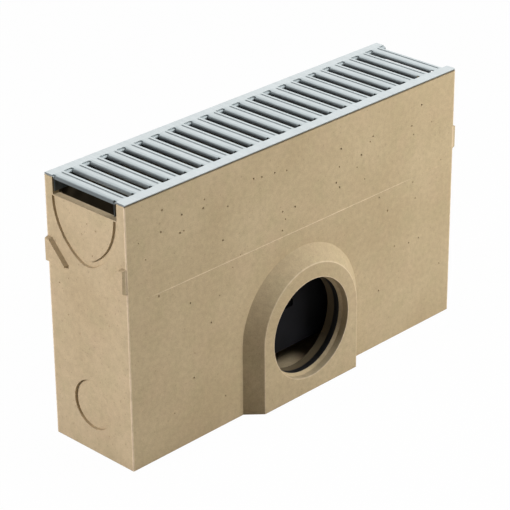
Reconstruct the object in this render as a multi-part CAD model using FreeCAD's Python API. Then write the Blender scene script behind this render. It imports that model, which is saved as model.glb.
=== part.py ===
import FreeCAD, Part
import math
import os
from FreeCAD import Vector

# Drainage sump with a slotted grating, a side outlet and a silt bucket.
# +X runs along the length, the outlet faces -Y, +Z is up.
# The origin is the centre of the underside. All sizes are in millimetres.

# Sump body, one casting
length = 500.0
width = 118.0
height = 299.0
side_wall = 11.7
end_wall = 8.5
floor_thickness = 14.0
corner_radius = 0.4
rim_chamfer = 0.3
cavity_corner_radius = 6.0

# Notch over each end panel
notch_depth = 19.0

# Ledge in each end of the cavity, which carries the bucket
ledge_below_top = 99.0
ledge_depth = 15.5

# U-shaped knock-out scored into each end
u_top_below_notch = 1.2
u_drop = 60.8
u_edge_margin = 13.5
u_bottom_radius = 22.0
score_width = 7.0
score_floor = 6.2
score_depth = 2.6

# Round knock-out recessed into each end
round_height = 55.5
round_radius = 28.0
round_depth = 3.0

# Cradle lugs at the edges of each end, which carry the next channel
lug_below_top = 68.0
lug_tall = 27.0
lug_base_width = 29.8
lug_top_width = 7.0
lug_toe = 3.0
lug_inset = 0.4
lug_reach = 5.0
lug_draft = 1.0

# Mould parting line along both long sides
ridge_below_top = 109.0
ridge_width = 1.4
ridge_proud = 0.5
ridge_end_margin = 26.0

# Outlet boss, an arch that stands on the underside
boss_depth = 16.4
boss_face_radius = 72.7
boss_flank = 17.0
boss_rise = 2.8
boss_edge_radius = 1.5

# Outlet for a pipe, with a straight mouth, a chamfered step and a seal in a groove of the bore
outlet_height = 76.8
pipe_radius = 55.0
bore_clearance = 0.5
mouth_step = 2.8
mouth_depth = 8.0
seal_land = 0.4
seal_width = 7.2
seal_groove_depth = 4.5
seal_ramp = 1.5

# Grating, one folded sheet
sheet = 1.1
rail_inset = 0.4
slot_margin = 12.0
leg_gap = 2.5
leg_depth = 14.5
leg_bend_radius = 1.0
bar_count = 21
bar_width = 15.2
flank_depth = 3.9
flank_bend_radius = 0.9
flank_leg_gap = 0.8
slot_corner_radius = 1.2
bead_offset = 10.9
bead_radius = 1.3
bead_axis_above = 0.4
bead_end_margin = 3.0

# Silt bucket, one moulding
bucket_wall = 2.5
bucket_floor_gap = 23.0
bucket_end_gap = 2.5
bucket_side_gap = 6.3
bucket_taper = 3.0
bucket_corner_radius = 8.0
bucket_edge_radius = 3.0
flange_thickness = 3.0
flange_end_gap = 3.0
flange_side_gap = 2.0
window_count = 5
window_pitch = 84.0
window_width = 18.0
window_tall = 22.0
window_sill = 51.0
window_corner_radius = 3.0

# Wire bail, held in two ears of the bucket
wire_radius = 2.0
wire_clearance = 0.05
bail_rest_gap = 0.3
bail_ear_gap = 0.5
bail_headroom = 16.0
bail_corner_radius = 12.0
bail_pin_bend_radius = 2.2
bail_pin_reach = 2.0
ear_width = 20.0
ear_thickness = 3.0
ear_margin = 5.0

# Room left beyond a face so that a cut goes clean through it
cut_room = 1.0

# Smallest distance that tells two places apart
tolerance = 1e-6

# Shared places
mouth_half = width / 2 - side_wall
ledge_z = height - ledge_below_top
notch_z = height - notch_depth
boss_face_y = -width / 2 - boss_depth
bore_radius = pipe_radius + bore_clearance
mouth_radius = bore_radius + mouth_step
seal_groove_radius = bore_radius + seal_groove_depth
seal_start = boss_face_y + mouth_depth + mouth_step + seal_land
seal_end = seal_start + seal_width
grating_top = height + 2 * sheet
leg_outer = mouth_half - leg_gap
leg_inner = leg_outer - sheet
leg_bottom = height - leg_depth
flange_top = ledge_z + flange_thickness
bucket_half_length = length / 2 - end_wall - ledge_depth - bucket_end_gap
bucket_half_width = mouth_half - bucket_side_gap
bucket_bottom = floor_thickness + bucket_floor_gap
bail_axis_z = flange_top + bail_rest_gap + wire_radius
bail_arm_y = bucket_half_width + bail_ear_gap + wire_radius
bail_reach = leg_bottom - bail_axis_z - wire_radius - bail_headroom


def box(low, high):
    """Block between two opposite corners."""
    size = [b - a for a, b in zip(low, high)]
    return Part.makeBox(*size, Vector(*low))


def both_ends(shape):
    """The shape and its mirror image at the other end."""
    return [shape, shape.mirror(Vector(), Vector(1, 0, 0))]


def both_sides(shape):
    """The shape and its mirror image at the other long side."""
    return [shape, shape.mirror(Vector(), Vector(0, 1, 0))]


def prism(points, depth):
    """Straight-sided outline pushed along a vector."""
    return Part.Face(Part.makePolygon(points + points[:1])).extrude(depth)


def edges_along(shape, axis):
    """Straight edges that run along one axis."""
    others = [name for name in "XYZ" if name != axis]
    return [
        edge
        for edge in shape.Edges
        if all(getattr(edge.BoundBox, f"{name}Length") < tolerance for name in others)
    ]


def arc(start, middle, end):
    """Arc edge through three points."""
    return Part.Arc(start, middle, end).toShape()


def quarter(centre, start, end):
    """Quarter-circle edge between two points around a centre."""
    middle = (start - centre) + (end - centre)
    middle.multiply((start - centre).Length / middle.Length)
    return arc(start, centre + middle, end)


def rounded_rectangle(half_x, half_y, radius, z, centre_x=0.0):
    """Level outline with round corners."""
    corners = []
    for sign_x, sign_y, start in ((1, 1, 0), (-1, 1, 90), (-1, -1, 180), (1, -1, 270)):
        centre = Vector(centre_x + sign_x * (half_x - radius), sign_y * (half_y - radius), z)
        corners.append(Part.makeCircle(radius, centre, Vector(0, 0, 1), start, start + 90))
    edges = []
    for corner, following in zip(corners, corners[1:] + corners[:1]):
        edges.append(corner)
        edges.append(Part.makeLine(corner.Vertexes[-1].Point, following.Vertexes[0].Point))
    return Part.Wire(edges)


def rounded_block(half_x, half_y, radius, low, high, centre_x=0.0):
    """Upright block with round vertical corners."""
    outline = rounded_rectangle(half_x, half_y, radius, low, centre_x)
    return Part.Face(outline).extrude(Vector(0, 0, high - low))


def turned(profile):
    """Solid of revolution about the outlet's axis, from (radius, y) points."""
    points = [Vector(radius, y, outlet_height) for radius, y in profile]
    face = Part.Face(Part.makePolygon(points + points[:1]))
    return face.revolve(Vector(0, 0, outlet_height), Vector(0, 1, 0), 360)


def outlet_boss():
    """Arch with sloping flanks, flush with the underside."""
    arch_z = outlet_height + boss_rise
    base_radius = boss_face_radius + boss_flank
    front_y = -width / 2
    crown = Part.makeCone(
        base_radius, boss_face_radius, boss_depth, Vector(0, front_y, arch_z), Vector(0, -1, 0)
    )
    foot = prism(
        [
            Vector(-base_radius, front_y, 0),
            Vector(base_radius, front_y, 0),
            Vector(boss_face_radius, boss_face_y, 0),
            Vector(-boss_face_radius, boss_face_y, 0),
        ],
        Vector(0, 0, arch_z),
    )
    above_ground = box((-base_radius, boss_face_y, 0), (base_radius, front_y, arch_z + base_radius))
    boss = crown.common(above_ground).fuse(foot).removeSplitter()
    rim = [
        edge
        for edge in boss.Edges
        if abs(edge.BoundBox.YMax - boss_face_y) < tolerance and edge.BoundBox.ZMax > tolerance
    ]
    return boss.makeFillet(boss_edge_radius, rim)


def outlet_bore():
    """Mouth with its step, bore and seal groove, as one turned cutter."""
    step_start = boss_face_y + mouth_depth
    inside = -mouth_half + cut_room
    return turned(
        [
            (0, boss_face_y),
            (mouth_radius, boss_face_y),
            (mouth_radius, step_start),
            (bore_radius, step_start + mouth_step),
            (bore_radius, seal_start),
            (seal_groove_radius, seal_start),
            (seal_groove_radius, seal_end),
            (bore_radius, seal_end),
            (bore_radius, inside),
            (0, inside),
        ]
    )


def score_section(centre, outward, radius):
    """Section of the groove on the left end, where an arc of the U starts."""
    mouth = score_width / 2
    floor = score_floor / 2
    points = [(0, -mouth), (0, mouth), (score_depth, floor), (score_depth, -floor)]
    corners = [centre + outward * (radius + offset) + Vector(depth, 0, 0) for depth, offset in points]
    return Part.Face(Part.makePolygon(corners + corners[:1]))


def u_score():
    """Groove with a little draft that outlines the U knock-out of the left end."""
    half = width / 2 - u_edge_margin
    top = notch_z - u_top_below_notch
    side_radius = (half**2 + u_drop**2 - 2 * u_drop * u_bottom_radius) / (2 * (half - u_bottom_radius))
    side_centre = Vector(-length / 2, half - side_radius, top)
    low_centre = Vector(-length / 2, 0, top - u_drop + u_bottom_radius)
    side_turn = math.degrees(math.atan2(side_centre.z - low_centre.z, low_centre.y - side_centre.y))
    inwards = Vector(1, 0, 0)
    side = score_section(side_centre, Vector(0, 1, 0), side_radius)
    low = score_section(low_centre, Vector(0, 0, -1), u_bottom_radius)
    side_arm = side.revolve(side_centre, inwards, -side_turn)
    low_arm = low.revolve(low_centre, inwards, 90 - side_turn)
    left, right = both_sides(side_arm.fuse(low_arm))
    return left.fuse(right)


def round_recess():
    """Shallow round recess in the left end."""
    centre = Vector(-length / 2, 0, round_height)
    return Part.makeCylinder(round_radius, round_depth, centre, Vector(1, 0, 0))


def lug_outline(x, inset):
    """Outline of a lug at the +Y edge of the left end: a wedge with a blunt toe."""
    edge = width / 2 - lug_inset
    outer = edge - inset
    toe = edge - lug_base_width + inset
    top = height - lug_below_top - inset
    bottom = height - lug_below_top - lug_tall + inset
    slope = (lug_base_width - lug_top_width) / (lug_tall - lug_toe)
    inner_top = edge - lug_top_width + inset * (math.hypot(1, slope) - slope)
    toe_top = top - (inner_top - toe) / slope
    points = [(outer, bottom), (toe, bottom), (toe, toe_top), (inner_top, top), (outer, top)]
    corners = [Vector(x, y, z) for y, z in points]
    return Part.makePolygon(corners + corners[:1])


def cradle_lug():
    """Lug with a little draft, rooted in the end wall."""
    end_x = -length / 2
    raised = Part.makeLoft([lug_outline(end_x, 0), lug_outline(end_x - lug_reach, lug_draft)], True, True)
    root = Part.Face(lug_outline(end_x, 0)).extrude(Vector(cut_room, 0, 0))
    return raised.fuse(root)


def parting_ridge():
    """Fine raised line along the back."""
    half = length / 2 - ridge_end_margin
    y = width / 2
    z = height - ridge_below_top
    section = [
        Vector(-half, y - ridge_proud, z - ridge_width),
        Vector(-half, y + ridge_proud, z),
        Vector(-half, y - ridge_proud, z + ridge_width),
    ]
    return prism(section, Vector(2 * half, 0, 0))


def sump_body():
    """The casting: open box with its boss, lugs, knock-outs, ledges and outlet."""
    block = rounded_block(length / 2, width / 2, corner_radius, 0, height)
    rim = [edge for edge in block.Edges if edge.BoundBox.ZMin > height - tolerance]
    block = block.makeChamfer(rim_chamfer, rim)
    above = height + cut_room
    upper_half = length / 2 - end_wall
    upper = rounded_block(upper_half, mouth_half, cavity_corner_radius, ledge_z, above)
    lower = rounded_block(
        upper_half - ledge_depth, mouth_half, cavity_corner_radius, floor_thickness, above
    )
    notch = box((-length / 2 - cut_room, -mouth_half, notch_z), (length / 2 + cut_room, mouth_half, above))
    lugs = [copy for lug in both_ends(cradle_lug()) for copy in both_sides(lug)]
    casting = block.multiFuse([outlet_boss()] + lugs + both_sides(parting_ridge()))
    cutters = [upper, lower, notch, outlet_bore()]
    for cutter in (u_score(), round_recess()):
        cutters += both_ends(cutter)
    return casting.cut(cutters).removeSplitter()


def outlet_seal():
    """Rubber ring in the bore's groove, shown pressed to the pipe's size."""
    return turned(
        [
            (seal_groove_radius, seal_start),
            (seal_groove_radius, seal_end),
            (bore_radius, seal_end),
            (pipe_radius, seal_end - seal_ramp),
            (pipe_radius, seal_start + seal_ramp),
            (bore_radius, seal_start),
        ]
    )


def grating_rail():
    """Hemmed rail and its leg, along the back."""
    start_x = -length / 2
    slot_end = width / 2 - slot_margin
    outer = width / 2 - rail_inset
    middle_z = grating_top - sheet
    bend = leg_bend_radius + sheet

    def point(y, z):
        return Vector(start_x, y, z)

    hem_top = point(outer - sheet, grating_top)
    hem_bottom = point(outer - sheet, height)
    under = point(leg_outer + leg_bend_radius, height)
    leg_back = point(leg_outer, height - leg_bend_radius)
    back_foot = point(leg_outer, leg_bottom)
    front_foot = point(leg_inner, leg_bottom)
    leg_front = point(leg_inner, middle_z - bend)
    over = point(leg_inner + bend, middle_z)
    slot_low = point(slot_end, middle_z)
    slot_high = point(slot_end, grating_top)
    edges = [
        Part.makeLine(slot_high, hem_top),
        arc(hem_top, point(outer, middle_z), hem_bottom),
        Part.makeLine(hem_bottom, under),
        quarter(point(under.y, leg_back.z), under, leg_back),
        Part.makeLine(leg_back, back_foot),
        Part.makeLine(back_foot, front_foot),
        Part.makeLine(front_foot, leg_front),
        quarter(point(over.y, leg_front.z), leg_front, over),
        Part.makeLine(over, slot_low),
        Part.makeLine(slot_low, slot_high),
    ]
    return Part.Face(Part.Wire(edges)).extrude(Vector(length, 0, 0))


def bar_flank(start_x):
    """Left edge of a bar, turned down over a round bend."""
    half = leg_inner - flank_leg_gap
    bend = flank_bend_radius + sheet

    def point(x, z):
        return Vector(start_x + x, -half, z)

    outer_top = point(bend, grating_top)
    outer_side = point(0, grating_top - bend)
    inner_side = point(sheet, grating_top - bend)
    inner_top = point(bend, grating_top - sheet)
    foot = grating_top - flank_depth
    centre = point(bend, grating_top - bend)
    edges = [
        quarter(centre, outer_top, outer_side),
        Part.makeLine(outer_side, point(0, foot)),
        Part.makeLine(point(0, foot), point(sheet, foot)),
        Part.makeLine(point(sheet, foot), inner_side),
        quarter(centre, inner_side, inner_top),
        Part.makeLine(inner_top, outer_top),
    ]
    return Part.Face(Part.Wire(edges)).extrude(Vector(0, 2 * half, 0))


def capsule(x, z, radius, half):
    """Round-ended rod along Y."""
    rod = Part.makeCylinder(radius, 2 * half, Vector(x, -half, z), Vector(0, 1, 0))
    tips = [Part.makeSphere(radius, Vector(x, y, z)) for y in (-half, half)]
    return rod.multiFuse(tips)


def grating():
    """Sheet with slots between its bars, beads on the bars, and a rail with a leg at each side."""
    pitch = length / bar_count
    starts = [-length / 2 + number * pitch for number in range(bar_count)]
    slot_half = width / 2 - slot_margin
    bend = flank_bend_radius + sheet
    slot_width = pitch - bar_width + bend
    middle_z = grating_top - sheet
    plate = box((starts[0] + bend, -slot_half, middle_z), (length / 2, slot_half, grating_top))
    bead_half = slot_half - bead_end_margin
    bead_z = grating_top + bead_axis_above
    ridges = [capsule(x + bead_offset, bead_z, bead_radius + sheet, bead_half) for x in starts]
    grooves = [capsule(x + bead_offset, bead_z, bead_radius, bead_half) for x in starts]
    slots = [
        rounded_block(
            slot_width / 2,
            slot_half,
            slot_corner_radius,
            middle_z - cut_room,
            grating_top + cut_room,
            x + bar_width + slot_width / 2,
        )
        for x in starts
    ]
    above = box(
        (-length / 2, -width / 2, grating_top),
        (length / 2, width / 2, grating_top + bead_axis_above + bead_radius + sheet + cut_room),
    )
    sheet_top = plate.cut(slots).multiFuse(ridges).cut([above] + grooves)
    flanks = [bar_flank(x) for x in starts]
    return sheet_top.multiFuse(both_sides(grating_rail()) + flanks).removeSplitter()


def bucket_shell(shrink, bottom, top):
    """Tapered block with round corners, the bucket's outside less a wall."""
    half_x = bucket_half_length - shrink
    half_y = bucket_half_width - shrink
    low_x = half_x - bucket_taper
    low_y = half_y - bucket_taper
    lengthways = [(-low_x, bottom), (low_x, bottom), (half_x, top), (-half_x, top)]
    crossways = [(-low_y, bottom), (low_y, bottom), (half_y, top), (-half_y, top)]
    ends = prism([Vector(x, -half_y, z) for x, z in lengthways], Vector(0, 2 * half_y, 0))
    sides = prism([Vector(-half_x, y, z) for y, z in crossways], Vector(2 * half_x, 0, 0))
    block = ends.common(sides)
    corners = [edge for edge in block.Edges if edge.BoundBox.ZLength > tolerance]
    return block.makeFillet(bucket_corner_radius - shrink, corners)


def bucket_ear():
    """Upright tab on the bucket's back rim, bored for the bail."""
    top = bail_axis_z + wire_radius + ear_margin
    outer = bucket_half_width
    inner = outer - ear_thickness
    plate = box((-ear_width / 2, inner, flange_top - flange_thickness), (ear_width / 2, outer, top))
    corners = [edge for edge in edges_along(plate, "Y") if edge.BoundBox.ZMin > ledge_z]
    rounded = plate.makeFillet(ear_margin, corners)
    hole = Part.makeCylinder(
        wire_radius + wire_clearance,
        ear_thickness + 2 * cut_room,
        Vector(0, inner - cut_room, bail_axis_z),
        Vector(0, 1, 0),
    )
    return rounded, hole


def silt_bucket():
    """Moulded bucket with a flange on the ledges, overflow windows and two ears."""
    flange = rounded_block(
        length / 2 - end_wall - flange_end_gap,
        mouth_half - flange_side_gap,
        bucket_corner_radius,
        ledge_z,
        flange_top,
    )
    ear, hole = bucket_ear()
    shell = bucket_shell(0, bucket_bottom, flange_top)
    base = [edge for edge in shell.Edges if edge.BoundBox.ZMax < bucket_bottom + tolerance]
    shell = shell.makeFillet(bucket_edge_radius, base)
    outside = shell.multiFuse([flange] + both_sides(ear))
    inside = bucket_shell(bucket_wall, bucket_bottom + bucket_wall, flange_top)
    sill = bucket_bottom + window_sill
    windows = []
    for number in range(window_count):
        centre = (number - (window_count - 1) / 2) * window_pitch
        window = box(
            (centre - window_width / 2, -mouth_half, sill),
            (centre + window_width / 2, mouth_half, sill + window_tall),
        )
        windows.append(window.makeFillet(window_corner_radius, edges_along(window, "Y")))
    return outside.cut(inside).cut(both_sides(hole) + windows).removeSplitter()


def bucket_bail():
    """Wire loop with its two ends turned inwards through the ears."""
    pin_tip = bucket_half_width - ear_thickness - bail_pin_reach
    pin_bend_y = bail_arm_y - bail_pin_bend_radius
    corner_x = bail_reach - bail_corner_radius
    corner_y = bail_arm_y - bail_corner_radius

    def point(x, y):
        return Vector(x, y, bail_axis_z)

    def half_route(sign):
        pin_end = point(0, sign * pin_bend_y)
        arm_start = point(bail_pin_bend_radius, sign * bail_arm_y)
        arm_end = point(corner_x, sign * bail_arm_y)
        grip_end = point(bail_reach, sign * corner_y)
        return [
            Part.makeLine(point(0, sign * pin_tip), pin_end),
            quarter(point(bail_pin_bend_radius, sign * pin_bend_y), pin_end, arm_start),
            Part.makeLine(arm_start, arm_end),
            quarter(point(corner_x, sign * corner_y), arm_end, grip_end),
        ]

    grip = Part.makeLine(point(bail_reach, -corner_y), point(bail_reach, corner_y))
    route = Part.Wire(Part.__sortEdges__(half_route(1) + [grip] + half_route(-1)))
    section = Part.Wire(Part.makeCircle(wire_radius, point(0, pin_tip), Vector(0, 1, 0)))
    return route.makePipeShell([section], True, False)


os.makedirs("parts", exist_ok=True)
nodes = {
    "sump_body": sump_body(),
    "outlet_seal": outlet_seal(),
    "grating": grating(),
    "silt_bucket": silt_bucket(),
    "bucket_bail": bucket_bail(),
}
for name, shape in nodes.items():
    shape.exportStep(f"parts/{name}.step")
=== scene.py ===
import math
import random

import bmesh
import bpy
from mathutils import Matrix, Vector


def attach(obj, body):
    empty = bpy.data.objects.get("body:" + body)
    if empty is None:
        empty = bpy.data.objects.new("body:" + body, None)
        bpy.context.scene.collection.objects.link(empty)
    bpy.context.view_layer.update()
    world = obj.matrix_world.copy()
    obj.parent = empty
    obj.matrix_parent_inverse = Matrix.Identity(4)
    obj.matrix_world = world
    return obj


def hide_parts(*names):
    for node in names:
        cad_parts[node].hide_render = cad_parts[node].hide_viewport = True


# Drainage sump: cast body, folded grating, seal, silt bucket and wire bail, on a white floor.
# All places and sizes are in metres.

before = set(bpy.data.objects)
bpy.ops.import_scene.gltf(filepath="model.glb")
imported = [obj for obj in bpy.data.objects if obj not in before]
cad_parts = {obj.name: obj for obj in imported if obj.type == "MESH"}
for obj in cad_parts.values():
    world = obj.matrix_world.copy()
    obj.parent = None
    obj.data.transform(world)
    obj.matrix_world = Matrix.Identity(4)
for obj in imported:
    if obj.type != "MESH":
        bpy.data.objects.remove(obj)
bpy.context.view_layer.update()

# Colours, linear
CONCRETE_LIGHT = (0.485, 0.380, 0.232, 1)
CONCRETE_DARK = (0.435, 0.335, 0.198, 1)
CONCRETE_GREEN = (0.425, 0.345, 0.200, 1)
CONCRETE_PINK = (0.500, 0.370, 0.235, 1)
CONCRETE_SPECK = (0.300, 0.225, 0.130, 1)
CONCRETE_RUBBED = (0.740, 0.590, 0.410, 1)
# Painted shade for grooves, pits and creases in the concrete
CONCRETE_PAINTED_SHADE = (0.215, 0.142, 0.062, 1)
# Painted shade inside the chamber and the bore, and painted shadow under the rails
CONCRETE_DEEP_SHADE = (0.085, 0.064, 0.037, 1)
ZINC_LIGHT = (0.64, 0.70, 0.71, 1)
ZINC_DARK = (0.53, 0.59, 0.60, 1)
# Painted highlight for the crests of the bars and the rails
ZINC_PAINTED_HIGHLIGHT = (0.90, 0.94, 0.94, 1)
# Painted shade for the legs and beside the beads
ZINC_PAINTED_SHADE = (0.060, 0.064, 0.055, 1)
PLASTIC_LIGHT = (0.010, 0.010, 0.012, 1)
PLASTIC_DARK = (0.006, 0.006, 0.007, 1)
RUBBER_LIGHT = (0.014, 0.014, 0.015, 1)
RUBBER_DARK = (0.007, 0.007, 0.007, 1)
WIRE_LIGHT = (0.62, 0.64, 0.66, 1)
WIRE_DARK = (0.42, 0.43, 0.45, 1)
WHITE = (1, 1, 1, 1)
FLOOR_GREY = (0.45, 0.42, 0.37, 1)

# Faces of the casting, from its middle and from the ground
END_X = 0.250
SIDE_Y = 0.059
RIM_Z = 0.299
PANEL_TOP = 0.280
PARTING_LINE = 0.190
LEDGE_Z = 0.200
MOUTH_Y = 0.0474
WALL_INSIDE_X = 0.2416

# Outlet boss: its face, its arch, its mouth, and its bore with the seal
BOSS_FACE_Y = 0.0754
ARCH_CENTRE = 0.0796
ARCH_RADIUS = 0.0727
OUTLET_CENTRE = 0.0768
OUTLET_RADIUS = 0.0583
SEAL_FRONT = 0.0640
BORE_REACH = 0.0590

# Pale lines where the mould left an edge or a seam: half widths, ends and shares
CORNER_LINE = 0.0020
CORNER_SHARE = 0.65
SEAM_LINE = 0.0006
SEAM_SHARE = 0.6
SEAM_LEFT = -0.222
SEAM_RIGHT = 0.190
SEAM_FADE = 0.030
ARCH_LINE = 0.0009
ARCH_SHARE = 0.5
OUTLET_LINE = 0.0010
OUTLET_SHARE = 0.6
FACE_REACH = 0.0015

# Painted shade on the walls inside the chamber and on the bore behind the seal, and a painted shadow line
# under the rails
WALL_FADE = 0.0004
LEDGE_FADE = 0.010
BORE_FADE = 0.0010
BORE_SHADE_SHARE = 0.85
RAIL_SHADOW_LINE = 0.0012
RAIL_SHADOW_SHARE = 0.75

# Span that a noise mostly keeps to
NOISE_SPAN = (0.3, 0.7)

# Colour of the concrete: broad light and dark, tinted patches and specks of sand
BROAD_SCALE = 9
BROAD_SPAN = (0.35, 0.65)
GREEN_SHIFT = (3.1, 1.7, 0.4)
GREEN_SCALE = 42
GREEN_SPAN = (0.48, 0.72)
GREEN_SHARE = 0.55
PINK_SHIFT = (0.9, 5.2, 2.6)
PINK_SCALE = 30
PINK_SPAN = (0.50, 0.74)
PINK_SHARE = 0.35
SPECK_SCALE = 260
SPECK_EDGE = (0.30, 0.10)
SPECK_PICK = (0.86, 0.94)
SPECK_SHARE = 0.55

# Surface of the concrete: clouds, grain, rubbed edges and painted shade in grooves, with reliefs as depth
# and strength
CLOUD_SCALE = 170
CLOUD_SPAN = (0.28, 0.72)
CLOUD_TONES = (0.91, 1.08)
CLOUD_RELIEF = (0.0004, 0.25)
GRAIN_SCALE = 900
GRAIN_SPAN = (0.25, 0.75)
GRAIN_TONES = (0.89, 1.10)
GRAIN_RELIEF = (0.0002, 0.40)
RUBBED_SPAN = (0.30, 0.60)
RUBBED_SHARES = (0.5, 1.0)
GROOVE_SHADE_REACH = 0.0015
GROOVE_SHADE_SPAN = (0.85, 0.30)
GROOVE_SHADE_SHARE = 0.6
CONCRETE_ROUGHNESS = (0.72, 0.88)
CONCRETE_SPECULAR = 0.30

# Grating: its bars, the painted highlights on the crests beside each bead and on the rails, and the
# painted shade on the legs under its rails
BAR_COUNT = 21
BAR_PITCH = 2 * END_X / BAR_COUNT
BAR_HALF = 0.0470
BAR_FADE = 0.0008
LEFT_CREST = 0.0078
LEFT_CREST_HALF = 0.0040
RIGHT_CREST = 0.0138
RIGHT_CREST_HALF = 0.0018
CREST_HIGHLIGHT_SHARE = 0.40
RAIL_HIGHLIGHT_SHARE = 0.50
LEG_TOP = 0.2980
LEG_FADE = 0.0010
LEG_SHADE_SHARE = 0.75

# Surface of the zinc: spangles, clouds, runs along the bars and painted shade lines beside the beads
SPANGLE_SCALE = 150
SPANGLE_SHARES = (0.6, 1.0)
ZINC_CLOUD_SCALE = 35
ZINC_CLOUD_SHARES = (0.2, 1.0)
RUN_STRETCH = (1, 0.06, 1)
RUN_SCALE = 700
RUN_RELIEF = (0.00008, 0.35)
BEAD_REACH = 0.0025
BEAD_SPAN = (0.95, 0.55)
BEAD_SHADE_SHARE = 0.12
ZINC_METALLIC = 0.95
ZINC_ROUGHNESS = (0.44, 0.58)

# Surfaces of the plastic, the rubber and the wire
PLASTIC_GRAIN_SCALE = 1400
PLASTIC_CLOUD_SCALE = 25
PLASTIC_RELIEF = (0.0001, 0.3)
PLASTIC_ROUGHNESS = (0.42, 0.54)
PLASTIC_SPECULAR = 0.15
RUBBER_GRAIN_SCALE = 1800
RUBBER_CLOUD_SCALE = 80
RUBBER_SPAN = (0.35, 0.7)
RUBBER_RELIEF = (0.00008, 0.3)
RUBBER_ROUGHNESS = (0.50, 0.65)
STREAK_STRETCH = (0.1, 1, 1)
STREAK_SCALE = 2500
STREAK_RELIEF = (0.00005, 0.3)
WIRE_CLOUD_SCALE = 120
WIRE_METALLIC = 0.9
WIRE_ROUGHNESS = (0.30, 0.48)

# Pits that air bubbles left in the casting
PIT_SEED = 11
PIT_SMALL = 0.0007
PIT_LARGE = 0.0014
PIT_SHIFT = 0.35
UPPER_PITS = 34
LOWER_PITS = 9
END_PITS = 20
BACK_PITS = 40
FOOT_MARGIN = 0.020
EDGE_MARGIN = 0.012
BESIDE_BOSS = 0.095

# Mesh finish
MERGE_DISTANCE = 2e-6
FLAT_ANGLE = math.radians(0.5)
SHARP_ANGLE = math.radians(28)
FLAT_AREA = 3e-4

# Camera
CAMERA_PLACE = Vector((-1.5547, -1.5186, 1.2040))
CAMERA_TARGET = Vector((-0.0177, -0.0077, 0.1480))
CAMERA_ROLL = math.radians(-0.47)
CAMERA_LENS = 156.99
CAMERA_SENSOR = 36

# Surroundings and floor, as lights and as mirrored in the object
WORLD_STRENGTH = 0.05
DARK_SIDE = (-1.0, 0.0, 0.0)
DARK_SIDE_START = -0.55
DARK_SIDE_FULL = 0.50
MIRRORED_BRIGHT = 1.12
MIRRORED_DARK = 0.17
FLOOR_HALF = 6.0
FLOOR_WHITENESS = 0.985
FLOOR_MIRRORED = 0.30

# Lamps: place, side, power in watts and colour
LAMPS = {
    "left_softbox": (Vector((-2.60, 0.70, 1.30)), 0.7, 79, (0.98, 0.98, 1.06)),
    "front_right_softbox": (Vector((1.05, -1.15, 0.28)), 0.5, 13.5, (0.98, 0.98, 0.97)),
    "high_right_softbox": (Vector((0.80, -1.15, 1.65)), 0.7, 24, (0.97, 1.00, 1.06)),
    "top_softbox": (Vector((0.30, 0.05, 2.20)), 0.7, 20, (0.90, 1.00, 1.20)),
}

# Places of the mix node's sockets: its share, its two values or colours, and its results
MIX_SHARE = 0
FIRST_VALUE = 2
SECOND_VALUE = 3
FIRST_COLOUR = 6
SECOND_COLOUR = 7
VALUE_RESULT = 0
COLOUR_RESULT = 2

# Rays that tell how much of its surroundings a point sees
HOLLOW_RAYS = 12


def add(tree, kind, inputs=None, **settings):
    """New node with its settings made and its inputs set or linked."""
    made = tree.nodes.new(kind)
    for name, value in settings.items():
        setattr(made, name, value)
    for key, value in (inputs or {}).items():
        if isinstance(value, bpy.types.NodeSocket):
            tree.links.new(value, made.inputs[key])
        else:
            made.inputs[key].default_value = value
    return made


def new_material(name):
    """Empty material, its tree and the object's own coordinates."""
    material = bpy.data.materials.new(name)
    material.use_nodes = True
    tree = material.node_tree
    tree.nodes.clear()
    coordinates = add(tree, "ShaderNodeTexCoord").outputs["Object"]
    return material, tree, coordinates


def axes(tree, coordinates):
    """Coordinates taken apart along the three axes."""
    parts = add(tree, "ShaderNodeSeparateXYZ", {"Vector": coordinates}).outputs
    return parts["X"], parts["Y"], parts["Z"]


def noise(tree, coordinates, scale, detail=3.0, roughness=0.5):
    """Cloudy value from 0 to 1."""
    inputs = {"Vector": coordinates, "Scale": scale, "Detail": detail, "Roughness": roughness}
    return add(tree, "ShaderNodeTexNoise", inputs).outputs["Fac"]


def cells(tree, coordinates, scale):
    """Small cells: the distance from each one's middle, and values of its own."""
    made = add(tree, "ShaderNodeTexVoronoi", {"Vector": coordinates, "Scale": scale}).outputs
    own = add(tree, "ShaderNodeSeparateColor", {"Color": made["Color"]}).outputs
    return made["Distance"], own


def stretched(tree, coordinates, scale):
    """Coordinates scaled by a different amount along each axis."""
    return add(tree, "ShaderNodeMapping", {"Vector": coordinates, "Scale": scale}).outputs["Vector"]


def shifted(tree, coordinates, place):
    """Coordinates moved, so that a second noise differs from the first."""
    return add(tree, "ShaderNodeMapping", {"Vector": coordinates, "Location": place}).outputs["Vector"]


def between(tree, value, low, high, to_low=0.0, to_high=1.0):
    """Value spread from one range to another, and held at its ends."""
    inputs = {"Value": value, "From Min": low, "From Max": high, "To Min": to_low, "To Max": to_high}
    return add(tree, "ShaderNodeMapRange", inputs).outputs["Result"]


def calculated(tree, operation, *values):
    """Result of one math node."""
    return add(tree, "ShaderNodeMath", dict(enumerate(values)), operation=operation).outputs["Value"]


def product(tree, first, *others):
    """Values multiplied."""
    for value in others:
        first = calculated(tree, "MULTIPLY", first, value)
    return first


def largest(tree, first, *others):
    """The largest of some values."""
    for value in others:
        first = calculated(tree, "MAXIMUM", first, value)
    return first


def apart(tree, first, second):
    """How far two values lie apart."""
    return calculated(tree, "ABSOLUTE", calculated(tree, "SUBTRACT", first, second))


def mixed(tree, share, first, second, blend="MIX"):
    """Two colours mixed by a share."""
    inputs = {MIX_SHARE: share, FIRST_COLOUR: first, SECOND_COLOUR: second}
    return add(tree, "ShaderNodeMix", inputs, data_type="RGBA", blend_type=blend).outputs[COLOUR_RESULT]


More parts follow.
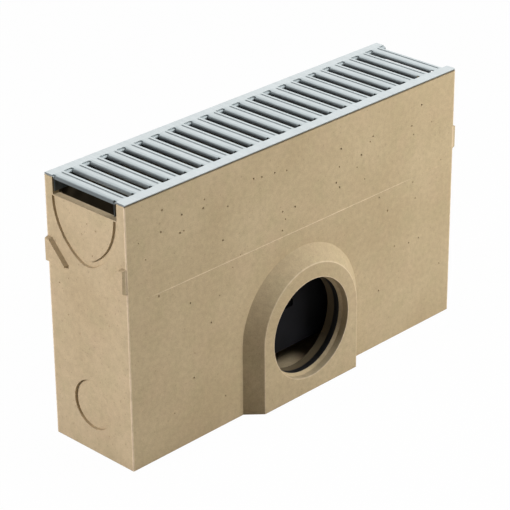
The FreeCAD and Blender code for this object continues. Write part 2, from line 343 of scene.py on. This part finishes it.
def weighed(tree, share, first, second):
    """A value between two others."""
    inputs = {MIX_SHARE: share, FIRST_VALUE: first, SECOND_VALUE: second}
    return add(tree, "ShaderNodeMix", inputs, data_type="FLOAT").outputs[VALUE_RESULT]


def toned(tree, colour, tone):
    """Colour made lighter or darker by a tone around 1."""
    inputs = {channel: tone for channel in ("Red", "Green", "Blue")}
    grey = add(tree, "ShaderNodeCombineColor", inputs).outputs["Color"]
    return mixed(tree, 1.0, colour, grey, "MULTIPLY")


def bump(tree, height, depth, strength, normal=None):
    """Surface relief from a height value."""
    inputs = {"Height": height, "Distance": depth, "Strength": strength}
    if normal is not None:
        inputs["Normal"] = normal
    return add(tree, "ShaderNodeBump", inputs).outputs["Normal"]


def surface(tree, inputs):
    """Principled surface as the material's output."""
    shader = add(tree, "ShaderNodeBsdfPrincipled", inputs)
    add(tree, "ShaderNodeOutputMaterial", {"Surface": shader.outputs["BSDF"]})


def hollow(tree, reach, open_share, shut_share):
    """How much the surfaces nearby shut a point in, from 0 to 1, for painting shade."""
    seen = add(tree, "ShaderNodeAmbientOcclusion", {"Distance": reach}, samples=HOLLOW_RAYS).outputs["AO"]
    return between(tree, seen, open_share, shut_share)


def stripe(tree, distance, half):
    """Line of a given half width with soft borders."""
    return between(tree, distance, half, half / 2)


def from_axis(tree, along, height, centre):
    """Distance from a level line that runs from front to back."""
    up = calculated(tree, "SUBTRACT", height, centre)
    place = add(tree, "ShaderNodeCombineXYZ", {"X": along, "Y": up}).outputs["Vector"]
    return add(tree, "ShaderNodeVectorMath", {0: place}, operation="LENGTH").outputs["Value"]


def ring(tree, along, height, centre, radius, half):
    """Round line about a level axis that runs from front to back."""
    return stripe(tree, apart(tree, from_axis(tree, along, height, centre), radius), half)


def on_sides(tree, across):
    """1 on the two long sides, 0 elsewhere."""
    return stripe(tree, apart(tree, across, SIDE_Y), FACE_REACH)


def corner_lines(tree, along, across):
    """Lines down the four corners."""
    to_corner = largest(tree, apart(tree, along, END_X), apart(tree, across, SIDE_Y))
    return product(tree, stripe(tree, to_corner, CORNER_LINE), CORNER_SHARE)


def parting_seam(tree, x, across, z):
    """Line along the long sides that fades out before both ends."""
    return product(
        tree,
        stripe(tree, apart(tree, z, PARTING_LINE), SEAM_LINE),
        on_sides(tree, across),
        between(tree, x, SEAM_LEFT, SEAM_LEFT + SEAM_FADE),
        between(tree, x, SEAM_RIGHT, SEAM_RIGHT - SEAM_FADE, 0.0, SEAM_SHARE),
    )


def outlet_lines(tree, along, across, z):
    """Lines on the boss's face, around the outlet and around the arch with its straight sides."""
    above = largest(tree, z, ARCH_CENTRE)
    arch = ring(tree, along, above, ARCH_CENTRE, ARCH_RADIUS, ARCH_LINE)
    outlet = ring(tree, along, z, OUTLET_CENTRE, OUTLET_RADIUS, OUTLET_LINE)
    lines = largest(tree, product(tree, arch, ARCH_SHARE), product(tree, outlet, OUTLET_SHARE))
    return product(tree, lines, stripe(tree, apart(tree, across, BOSS_FACE_Y), FACE_REACH))


def painted_wall_shade(tree, along, across, z):
    """Painted shade on the chamber's walls from the ledges up."""
    return product(
        tree,
        between(tree, across, SIDE_Y, MOUTH_Y),
        between(tree, along, WALL_INSIDE_X + WALL_FADE, WALL_INSIDE_X),
        between(tree, z, LEDGE_Z - LEDGE_FADE, LEDGE_Z),
    )


def painted_bore_shade(tree, along, y, z):
    """Painted shade on the bore from the seal inwards, in the front wall only."""
    return product(
        tree,
        between(tree, from_axis(tree, along, z, OUTLET_CENTRE), BORE_REACH, BORE_REACH - BORE_FADE),
        between(tree, y, -SEAL_FRONT, BORE_FADE - SEAL_FRONT),
        between(tree, y, 0.0, -MOUTH_Y, 0.0, BORE_SHADE_SHARE),
    )


def painted_rail_shadow(tree, across, z):
    """Painted shadow line along the long sides, under the grating's rails."""
    line = between(tree, z, RIM_Z - RAIL_SHADOW_LINE, RIM_Z - RAIL_SHADOW_LINE / 2, 0.0, RAIL_SHADOW_SHARE)
    return product(tree, line, on_sides(tree, across))


def casting_masks(tree, coordinates):
    """Pale lines of the casting, and where shade and shadow are painted on it."""
    x, y, z = axes(tree, coordinates)
    along = apart(tree, x, 0.0)
    across = apart(tree, y, 0.0)
    pale = largest(
        tree,
        corner_lines(tree, along, across),
        parting_seam(tree, x, across, z),
        outlet_lines(tree, along, across, z),
    )
    # Painted shade on the chamber's walls and in the bore, and a painted shadow line under the rails
    painted_shade = largest(
        tree,
        painted_wall_shade(tree, along, across, z),
        painted_bore_shade(tree, along, y, z),
        painted_rail_shadow(tree, across, z),
    )
    return pale, painted_shade


def sandy_tan(tree, coordinates):
    """Cloudy tan with green and pink patches and specks of sand."""
    broad = noise(tree, coordinates, BROAD_SCALE, detail=2)
    green = noise(tree, shifted(tree, coordinates, GREEN_SHIFT), GREEN_SCALE)
    pink = noise(tree, shifted(tree, coordinates, PINK_SHIFT), PINK_SCALE)
    from_middle, own = cells(tree, coordinates, SPECK_SCALE)
    round_specks = between(tree, from_middle, *SPECK_EDGE)
    specks = product(tree, round_specks, between(tree, own["Red"], *SPECK_PICK), SPECK_SHARE)
    colour = mixed(tree, between(tree, broad, *BROAD_SPAN), CONCRETE_DARK, CONCRETE_LIGHT)
    colour = mixed(tree, between(tree, green, *GREEN_SPAN, 0.0, GREEN_SHARE), colour, CONCRETE_GREEN)
    colour = mixed(tree, between(tree, pink, *PINK_SPAN, 0.0, PINK_SHARE), colour, CONCRETE_PINK)
    return mixed(tree, specks, colour, CONCRETE_SPECK)


def concrete():
    """Fine-grained cast polymer concrete: sandy tan and pale rubbed edges, with painted brown shade in its
    grooves, pits and creases, painted shade inside the chamber and the bore, and a painted shadow under
    the rails.
    """
    material, tree, coordinates = new_material("polymer_concrete")
    cloud = noise(tree, coordinates, CLOUD_SCALE, detail=4, roughness=0.6)
    grain = noise(tree, coordinates, GRAIN_SCALE, detail=2)
    pale, painted_shade = casting_masks(tree, coordinates)
    rubbed = product(tree, pale, between(tree, cloud, *RUBBED_SPAN, *RUBBED_SHARES))
    # Painted shade where nearby surfaces shut a point in: grooves, pits and creases
    painted_groove_shade = product(tree, hollow(tree, GROOVE_SHADE_REACH, *GROOVE_SHADE_SPAN), GROOVE_SHADE_SHARE)
    colour = toned(tree, sandy_tan(tree, coordinates), between(tree, cloud, *CLOUD_SPAN, *CLOUD_TONES))
    colour = toned(tree, colour, between(tree, grain, *GRAIN_SPAN, *GRAIN_TONES))
    colour = mixed(tree, rubbed, colour, CONCRETE_RUBBED)
    colour = mixed(tree, painted_groove_shade, colour, CONCRETE_PAINTED_SHADE)
    # The base colour takes the painted shade inside and the painted shadow under the rails
    surface(tree, {
        "Base Color": mixed(tree, painted_shade, colour, CONCRETE_DEEP_SHADE),
        "Roughness": between(tree, grain, *NOISE_SPAN, *CONCRETE_ROUGHNESS),
        "Specular IOR Level": CONCRETE_SPECULAR,
        "Normal": bump(tree, grain, *GRAIN_RELIEF, bump(tree, cloud, *CLOUD_RELIEF)),
    })
    return material


def grating_masks(tree, coordinates):
    """Painted highlights on the crests of the bars and on the rails, and painted shade on the legs."""
    x, y, z = axes(tree, coordinates)
    across_bar = calculated(tree, "MODULO", calculated(tree, "ADD", x, END_X), BAR_PITCH)
    left = stripe(tree, apart(tree, across_bar, LEFT_CREST), LEFT_CREST_HALF)
    right = stripe(tree, apart(tree, across_bar, RIGHT_CREST), RIGHT_CREST_HALF)
    from_middle = apart(tree, y, 0.0)
    # Painted highlight across the crests of the bars and along the rails
    bars = between(tree, from_middle, BAR_HALF, BAR_HALF - BAR_FADE, 0.0, CREST_HIGHLIGHT_SHARE)
    painted_rail_highlight = between(tree, from_middle, BAR_HALF - BAR_FADE, BAR_HALF, 0.0, RAIL_HIGHLIGHT_SHARE)
    # Painted shade on the legs below the rails
    painted_leg_shade = between(tree, z, LEG_TOP, LEG_TOP - LEG_FADE, 0.0, LEG_SHADE_SHARE)
    painted_crest_highlight = product(tree, largest(tree, left, right), bars)
    return largest(tree, painted_crest_highlight, painted_rail_highlight), painted_leg_shade


def galvanised_steel():
    """Hot-dip zinc: pale spangles with faint runs along the bars, painted highlights on the crests and
    rails, and painted shade beside the beads and on the legs.
    """
    material, tree, coordinates = new_material("galvanised_steel")
    _, own = cells(tree, coordinates, SPANGLE_SCALE)
    cloud = noise(tree, coordinates, ZINC_CLOUD_SCALE, detail=4, roughness=0.6)
    runs = noise(tree, stretched(tree, coordinates, RUN_STRETCH), RUN_SCALE, detail=2)
    painted_highlight, painted_leg_shade = grating_masks(tree, coordinates)
    share = product(
        tree,
        between(tree, cloud, *NOISE_SPAN, *ZINC_CLOUD_SHARES),
        between(tree, own["Green"], 0.0, 1.0, *SPANGLE_SHARES),
    )
    # Painted shade beside the beads and on the legs
    shade = largest(tree, product(tree, hollow(tree, BEAD_REACH, *BEAD_SPAN), BEAD_SHADE_SHARE), painted_leg_shade)
    # Painted highlight on the crests and the rails
    colour = mixed(tree, painted_highlight, mixed(tree, share, ZINC_DARK, ZINC_LIGHT), ZINC_PAINTED_HIGHLIGHT)
    surface(tree, {
        "Base Color": mixed(tree, shade, colour, ZINC_PAINTED_SHADE),
        "Metallic": ZINC_METALLIC,
        "Roughness": between(tree, runs, *NOISE_SPAN, *ZINC_ROUGHNESS),
        "Normal": bump(tree, runs, *RUN_RELIEF),
    })
    return material


def black_plastic():
    """Moulded plastic with a fine leathery grain."""
    material, tree, coordinates = new_material("black_plastic")
    grain = noise(tree, coordinates, PLASTIC_GRAIN_SCALE)
    cloud = noise(tree, coordinates, PLASTIC_CLOUD_SCALE)
    surface(tree, {
        "Base Color": mixed(tree, between(tree, cloud, *NOISE_SPAN), PLASTIC_DARK, PLASTIC_LIGHT),
        "Roughness": between(tree, cloud, *NOISE_SPAN, *PLASTIC_ROUGHNESS),
        "Specular IOR Level": PLASTIC_SPECULAR,
        "Normal": bump(tree, grain, *PLASTIC_RELIEF),
    })
    return material


def seal_rubber():
    """Soft black rubber with a little bloom."""
    material, tree, coordinates = new_material("seal_rubber")
    grain = noise(tree, coordinates, RUBBER_GRAIN_SCALE, detail=2)
    cloud = noise(tree, coordinates, RUBBER_CLOUD_SCALE, detail=4)
    surface(tree, {
        "Base Color": mixed(tree, between(tree, cloud, *RUBBER_SPAN), RUBBER_DARK, RUBBER_LIGHT),
        "Roughness": between(tree, cloud, *NOISE_SPAN, *RUBBER_ROUGHNESS),
        "Normal": bump(tree, grain, *RUBBER_RELIEF),
    })
    return material


def steel_wire():
    """Drawn zinc-coated wire with fine streaks."""
    material, tree, coordinates = new_material("steel_wire")
    streaks = noise(tree, stretched(tree, coordinates, STREAK_STRETCH), STREAK_SCALE, detail=2)
    cloud = noise(tree, coordinates, WIRE_CLOUD_SCALE)
    surface(tree, {
        "Base Color": mixed(tree, between(tree, cloud, *NOISE_SPAN), WIRE_DARK, WIRE_LIGHT),
        "Metallic": WIRE_METALLIC,
        "Roughness": between(tree, streaks, *NOISE_SPAN, *WIRE_ROUGHNESS),
        "Normal": bump(tree, streaks, *STREAK_RELIEF),
    })
    return material


def dress(node, material):
    """Give a node's object its finish."""
    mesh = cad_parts[node].data
    for index in range(len(mesh.materials)):
        mesh.materials[index] = material


def placed(name, mesh):
    """New object in the scene with its place in its mesh."""
    made = bpy.data.objects.new(name, mesh)
    bpy.context.scene.collection.objects.link(made)
    return made


def applied(piece):
    """The piece's mesh with its modifiers made real."""
    bpy.context.view_layer.update()
    return bpy.data.meshes.new_from_object(piece.evaluated_get(bpy.context.evaluated_depsgraph_get()))


def pit_places(draw):
    """Points on the casting's faces, thickest on the upper half of the front."""
    along = END_X - EDGE_MARGIN
    across = SIDE_Y - EDGE_MARGIN
    below_panel = PANEL_TOP - EDGE_MARGIN
    ends = (-END_X, END_X)
    areas = [(END_PITS, (x, -across, FOOT_MARGIN), (x, across, below_panel)) for x in ends]
    areas.append((UPPER_PITS, (-along, -SIDE_Y, PARTING_LINE), (along, -SIDE_Y, PANEL_TOP)))
    areas.append((LOWER_PITS, (-along, -SIDE_Y, FOOT_MARGIN), (-BESIDE_BOSS, -SIDE_Y, PARTING_LINE)))
    areas.append((LOWER_PITS, (BESIDE_BOSS, -SIDE_Y, FOOT_MARGIN), (along, -SIDE_Y, PARTING_LINE)))
    areas.append((BACK_PITS, (-along, SIDE_Y, FOOT_MARGIN), (along, SIDE_Y, PANEL_TOP)))
    for count, low, high in areas:
        for _ in range(count):
            yield Vector(draw.uniform(a, b) for a, b in zip(low, high))


def pit_cutter():
    """Small balls on the casting's faces, each moved a little towards the nearer end."""
    draw = random.Random(PIT_SEED)
    shape = bmesh.new()
    for place in pit_places(draw):
        radius = draw.uniform(PIT_SMALL, PIT_LARGE)
        shift = math.copysign(radius * PIT_SHIFT, place.x)
        centre = place + Vector((shift, 0, 0))
        bmesh.ops.create_icosphere(shape, subdivisions=2, radius=radius, matrix=Matrix.Translation(centre))
    mesh = bpy.data.meshes.new("pit_balls")
    shape.to_mesh(mesh)
    shape.free()
    return placed("pit_balls", mesh)


def round_off(mesh):
    """Smooth shading on the small faces of round forms, flat on the large ones."""
    shape = bmesh.new()
    shape.from_mesh(mesh)
    bmesh.ops.dissolve_degenerate(shape, dist=MERGE_DISTANCE, edges=shape.edges)
    for face in shape.faces:
        face.smooth = face.calc_area() < FLAT_AREA
    shape.to_mesh(mesh)
    shape.free()
    mesh.set_sharp_from_angle(angle=SHARP_ANGLE)


def whole_casting():
    """The cast body's mesh with its flat faces joined."""
    shape = bmesh.new()
    shape.from_mesh(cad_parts["sump_body"].data)
    bmesh.ops.remove_doubles(shape, verts=shape.verts, dist=MERGE_DISTANCE)
    bmesh.ops.dissolve_limit(shape, angle_limit=FLAT_ANGLE, verts=shape.verts, edges=shape.edges)
    mesh = bpy.data.meshes.new("casting")
    shape.to_mesh(mesh)
    shape.free()
    mesh.attributes.remove(mesh.attributes["custom_normal"])
    return mesh


def casting():
    """The cast body with pits in its faces."""
    piece = placed("casting", whole_casting())
    balls = pit_cutter()
    cut = piece.modifiers.new("pits", "BOOLEAN")
    cut.operation = "DIFFERENCE"
    cut.solver = "MANIFOLD"
    cut.object = balls
    pitted = applied(piece)
    piece.modifiers.clear()
    bpy.data.objects.remove(balls)
    round_off(pitted)
    piece.data = pitted
    pitted.materials.clear()
    pitted.materials.append(concrete())
    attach(piece, "sump")
    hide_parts("sump_body")


def rays(tree):
    """Whether a ray comes straight from the camera, and whether it was mirrored or bent."""
    path = add(tree, "ShaderNodeLightPath").outputs
    return path["Is Camera Ray"], largest(tree, path["Is Glossy Ray"], path["Is Transmission Ray"])


def white_floor():
    """Level floor that shows white, with a faint shadow."""
    mesh = bpy.data.meshes.new("floor")
    corners = [(x * FLOOR_HALF, y * FLOOR_HALF, 0) for x, y in ((-1, -1), (1, -1), (1, 1), (-1, 1))]
    mesh.from_pydata(corners, [], [(0, 1, 2, 3)])
    material, tree, _ = new_material("floor_white")
    matt = add(tree, "ShaderNodeBsdfDiffuse", {"Color": FLOOR_GREY}).outputs["BSDF"]
    straight, mirrored = rays(tree)
    share = largest(tree, product(tree, straight, FLOOR_WHITENESS), mirrored)
    strength = weighed(tree, mirrored, 1.0, FLOOR_MIRRORED)
    glow = add(tree, "ShaderNodeEmission", {"Color": WHITE, "Strength": strength}).outputs["Emission"]
    both = add(tree, "ShaderNodeMixShader", {0: share, 1: matt, 2: glow}).outputs["Shader"]
    add(tree, "ShaderNodeOutputMaterial", {"Surface": both})
    mesh.materials.append(material)
    placed("floor", mesh)


def white_world():
    """White surroundings, dimmer as a light than they look, with a dark room on one side."""
    world = bpy.data.worlds.new("surroundings")
    world.use_nodes = True
    tree = world.node_tree
    tree.nodes.clear()
    inputs = {0: add(tree, "ShaderNodeTexCoord").outputs["Generated"], 1: DARK_SIDE}
    turned = add(tree, "ShaderNodeVectorMath", inputs, operation="DOT_PRODUCT").outputs["Value"]
    room = between(tree, turned, DARK_SIDE_START, DARK_SIDE_FULL, MIRRORED_BRIGHT, MIRRORED_DARK)
    straight, mirrored = rays(tree)
    strength = weighed(tree, straight, weighed(tree, mirrored, WORLD_STRENGTH, room), 1.0)
    sky = add(tree, "ShaderNodeBackground", {"Color": WHITE, "Strength": strength}).outputs["Background"]
    add(tree, "ShaderNodeOutputWorld", {"Surface": sky})
    bpy.context.scene.world = world


def softbox(name, place, side, power, colour):
    """Square lamp that looks at the object, and isn't mirrored in it."""
    lamp = bpy.data.lights.new(name, "AREA")
    lamp.shape = "SQUARE"
    lamp.size = side
    lamp.energy = power
    lamp.color = colour
    box = bpy.data.objects.new(name, lamp)
    box.location = place
    box.rotation_euler = (CAMERA_TARGET - place).to_track_quat("-Z", "Y").to_euler()
    box.visible_glossy = False
    bpy.context.scene.collection.objects.link(box)


def photo_camera():
    """Camera at the photograph's viewing angle."""
    data = bpy.data.cameras.new("camera")
    data.sensor_width = CAMERA_SENSOR
    data.lens = CAMERA_LENS
    camera = bpy.data.objects.new("camera", data)
    aim = (CAMERA_TARGET - CAMERA_PLACE).to_track_quat("-Z", "Y").to_matrix().to_4x4()
    camera.matrix_world = Matrix.Translation(CAMERA_PLACE) @ aim @ Matrix.Rotation(CAMERA_ROLL, 4, "Z")
    bpy.context.scene.collection.objects.link(camera)
    bpy.context.scene.camera = camera


casting()
dress("grating", galvanised_steel())
dress("silt_bucket", black_plastic())
dress("outlet_seal", seal_rubber())
dress("bucket_bail", steel_wire())

white_floor()
white_world()
for name, lamp in LAMPS.items():
    softbox(name, *lamp)
photo_camera()
bpy.context.scene.view_settings.view_transform = "Standard"
